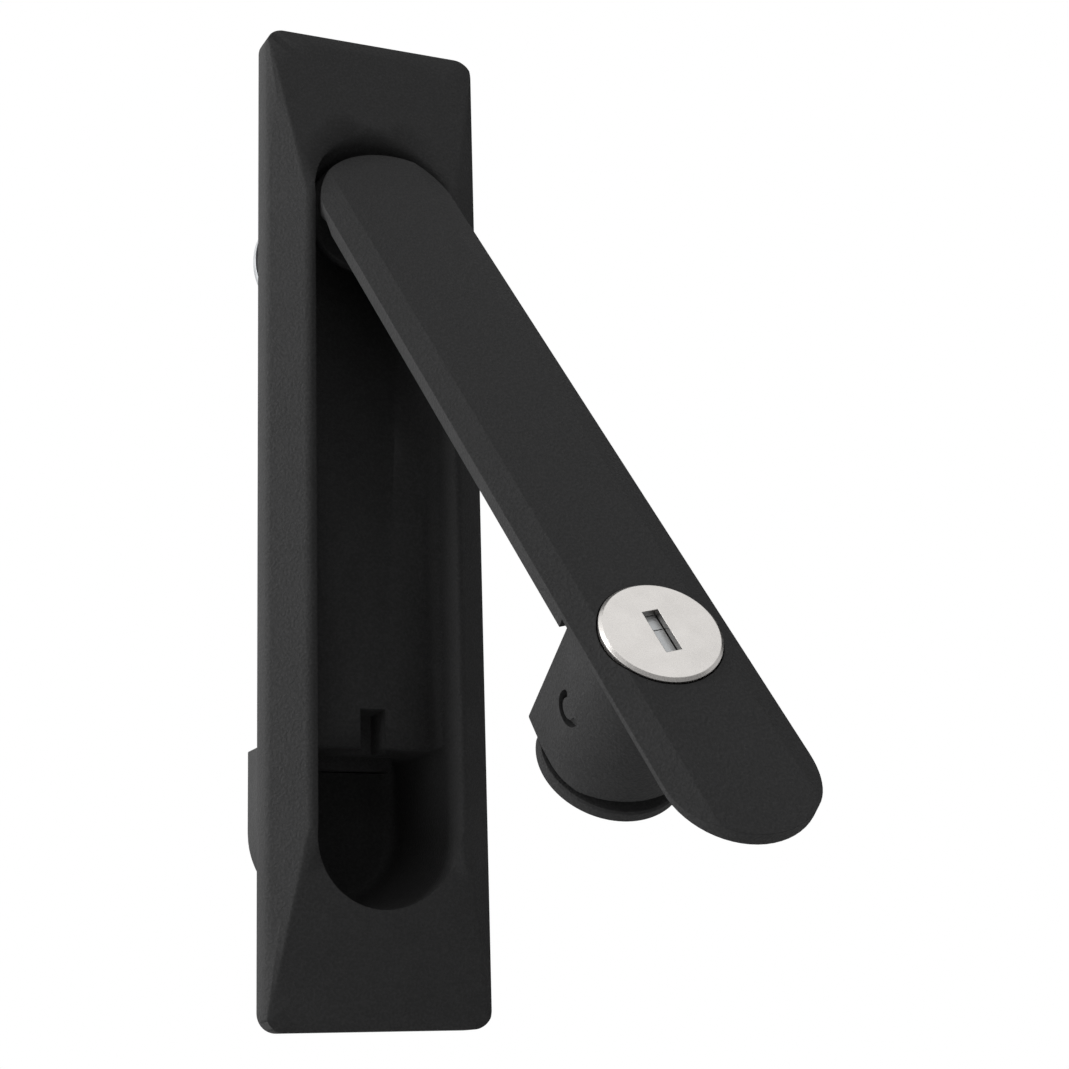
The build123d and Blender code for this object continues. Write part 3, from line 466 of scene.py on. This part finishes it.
def make_base():
    """The base with the pocket's lower end slanting in, a thicker floor and the drain recess."""
    place = door_frame()
    source = frame["nodes"]["base_housing"]
    shape = bmesh.new()
    shape.from_mesh(source.data)
    to_mm = Matrix.Diagonal((1 / MM, 1 / MM, 1 / MM, 1.0))
    to_door = to_mm @ place.inverted() @ source.matrix_world
    bmesh.ops.transform(shape, verts=shape.verts, matrix=to_door)
    bmesh.ops.remove_doubles(shape, verts=shape.verts, dist=WELD_DISTANCE)
    for vertex in shape.verts:
        x, y, z = vertex.co
        from_arc = math.hypot(x, min(y - POCKET_ARC, 0.0))
        inside = from_arc < POCKET_INNER_R and y < POCKET_TOP + HAIR
        if inside and POCKET_FLOOR - POCKET_SKIN < z < POCKET_FLOOR + POCKET_FILLET + HAIR:
            vertex.co.z += POCKET_RISE
        inwards = share(z, POCKET_MOUTH, POCKET_FLOOR)
        vertex.co.y += POCKET_SLANT * inwards * share(y, POCKET_TOP, POCKET_ARC)
    base = solid("bevelled_base", shape, place)
    combine(base, [("UNION", box("boss_add", RECESS_BOSS, place)),
                   ("DIFFERENCE", box("recess_cut", RECESS, place))])
    stand_for(base, "base_housing", "base")


# ---- stage ------------------------------------------------------------------------------------
def make_floor():
    """Large pale disc under the part."""
    mesh = bpy.data.meshes.new("floor")
    shape = bmesh.new()
    bmesh.ops.create_circle(shape, cap_ends=True, segments=FLOOR_SEGMENTS, radius=FLOOR_RADIUS)
    shape.to_mesh(mesh)
    shape.free()
    floor = bpy.data.objects.new("floor", mesh)
    floor.location.z = cad_box[0].z - FLOOR_DROP
    bpy.context.collection.objects.link(floor)
    s = Surface("pale_floor", specular=0.2)
    s.colour(s.tones(s.noise(0.6, 2.0), *FLOOR_TONES))
    s.shader.inputs["Roughness"].default_value = 0.9
    mesh.materials.append(s.material)


def make_card():
    """Black card for the right-hand bevels' reflections. It casts no shadow."""
    shape = bmesh.new()
    bmesh.ops.create_grid(shape, x_segments=1, y_segments=1, size=CARD_SIZE / 2)
    mesh = bpy.data.meshes.new("dark_card")
    shape.to_mesh(mesh)
    shape.free()
    card = bpy.data.objects.new("dark_card", mesh)
    card.location = Vector(CARD_AT)
    card.rotation_euler = (CENTRE - card.location).to_track_quat("Z", "Y").to_euler()
    card.visible_camera = card.visible_shadow = card.visible_diffuse = False
    bpy.context.collection.objects.link(card)
    s = Surface("black_card", specular=0.0)
    s.colour(s.tones(s.noise(0.1, 2.0), *CARD_TONES))
    s.shader.inputs["Roughness"].default_value = 1.0
    mesh.materials.append(s.material)


def make_world():
    """White to the camera and in reflections, and a plain soft fill on dull surfaces."""
    world = bpy.data.worlds.new("studio")
    bpy.context.scene.world = world
    world.use_nodes = True
    tree = world.node_tree
    background = tree.nodes["Background"]
    background.inputs["Color"].default_value = (1.0, 1.0, 1.0, 1.0)
    path = tree.nodes.new("ShaderNodeLightPath")
    seen = path.outputs["Is Camera Ray"]
    for name in ("Is Glossy Ray", "Is Transmission Ray"):
        either = tree.nodes.new("ShaderNodeMath")
        either.operation = "MAXIMUM"
        tree.links.new(seen, either.inputs[0])
        tree.links.new(path.outputs[name], either.inputs[1])
        seen = either.outputs[0]
    level = tree.nodes.new("ShaderNodeMapRange")
    level.inputs["To Min"].default_value = SKY_FILL
    level.inputs["To Max"].default_value = 1.0
    tree.links.new(seen, level.inputs["Value"])
    tree.links.new(level.outputs["Result"], background.inputs["Strength"])


def make_lamps():
    """Large square lamps that face the part."""
    for name, lamp in LAMPS.items():
        light = bpy.data.lights.new(name, "AREA")
        light.size = lamp["size"]
        light.energy = lamp["radiance"] * math.pi * lamp["size"] ** 2
        thing = bpy.data.objects.new(name, light)
        thing.location = Vector(lamp["at"])
        thing.rotation_euler = (CENTRE - thing.location).to_track_quat("-Z", "Y").to_euler()
        bpy.context.collection.objects.link(thing)


def make_camera():
    """The photograph's camera."""
    data = bpy.data.cameras.new("camera")
    data.lens = CAMERA_LENS
    data.sensor_width = SENSOR_WIDTH
    camera = bpy.data.objects.new("camera", data)
    turn = Matrix.Rotation(math.radians(-CAMERA_YAW), 4, "Z")
    turn @= Matrix.Rotation(math.radians(90 + CAMERA_PITCH), 4, "X")
    turn @= Matrix.Rotation(math.radians(CAMERA_ROLL), 4, "Z")
    camera.matrix_world = Matrix.Translation(CAMERA_AT) @ turn
    bpy.context.collection.objects.link(camera)
    bpy.context.scene.camera = camera


dress_cad_nodes()
make_housing()
make_base()
make_floor()
make_card()
make_world()
make_lamps()
make_camera()
bpy.context.scene.view_settings.view_transform = "Standard"
